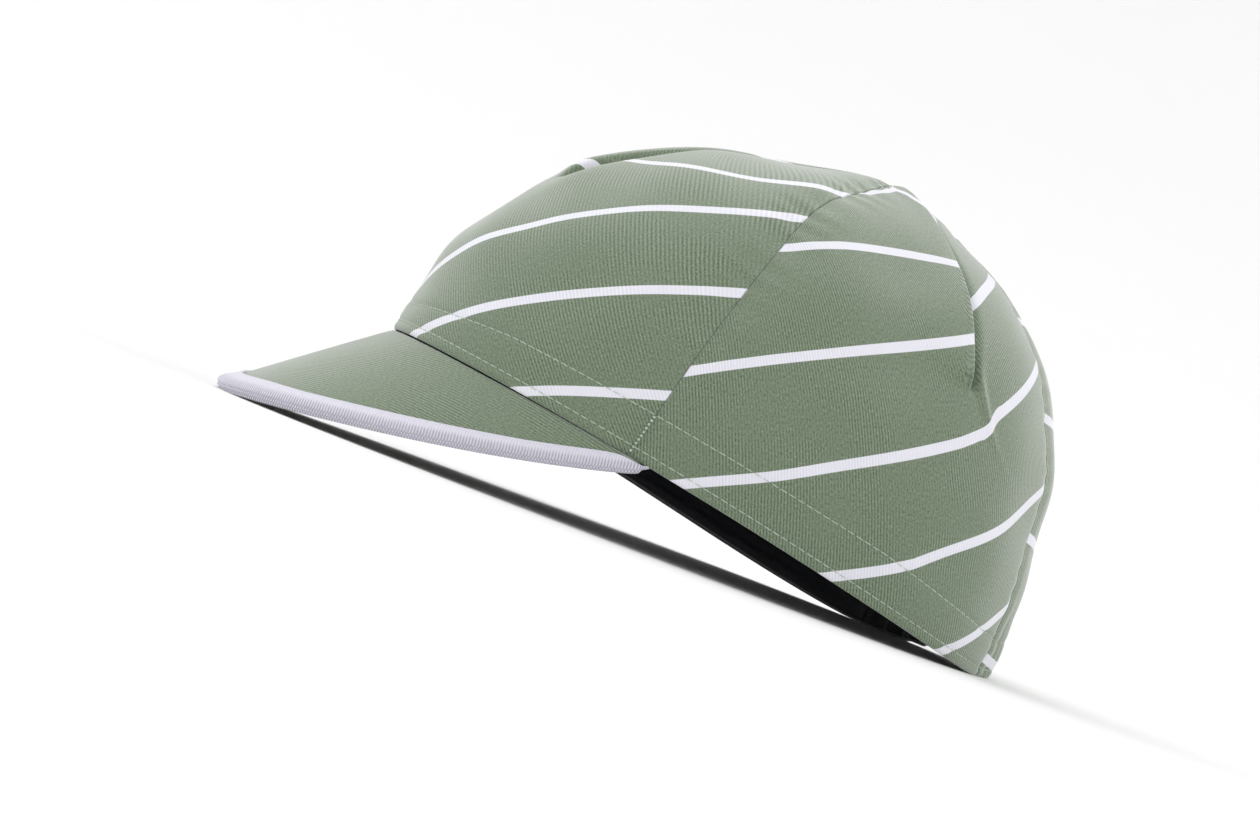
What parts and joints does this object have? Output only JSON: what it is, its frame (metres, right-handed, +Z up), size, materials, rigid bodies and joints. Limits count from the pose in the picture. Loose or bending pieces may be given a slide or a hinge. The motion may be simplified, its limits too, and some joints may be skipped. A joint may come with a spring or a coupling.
{
  "type": "cycling cap",
  "caption": "Soft cloth cycling cap with a panelled crown, short turned-down bound peak, sweatband and gathered elastic back",
  "frame": {"origin": "on the surface that the cap rests on, under the middle of its outer box", "axes": "+Z up from the surface, the front and peak towards -Y, the wearer's left towards +X"},
  "size_m": [0.1568, 0.2326, 0.1193],
  "materials": {
    "sage_cloth": "fine ribbed sage-green polyester cloth with pale stripes, matt",
    "white_rib": "white ribbed binding tape, matt",
    "black_webbing": "black woven tape, matt"
  },
  "bodies": {
    "root": {"front_panel": "sage_cloth", "side_panel_left": "sage_cloth", "side_panel_right": "sage_cloth", "back_panel": "sage_cloth", "peak": "sage_cloth", "peak_binding": "white_rib", "sweatband": "black_webbing", "elastic_band": "black_webbing"}
  },
  "joints": []
}
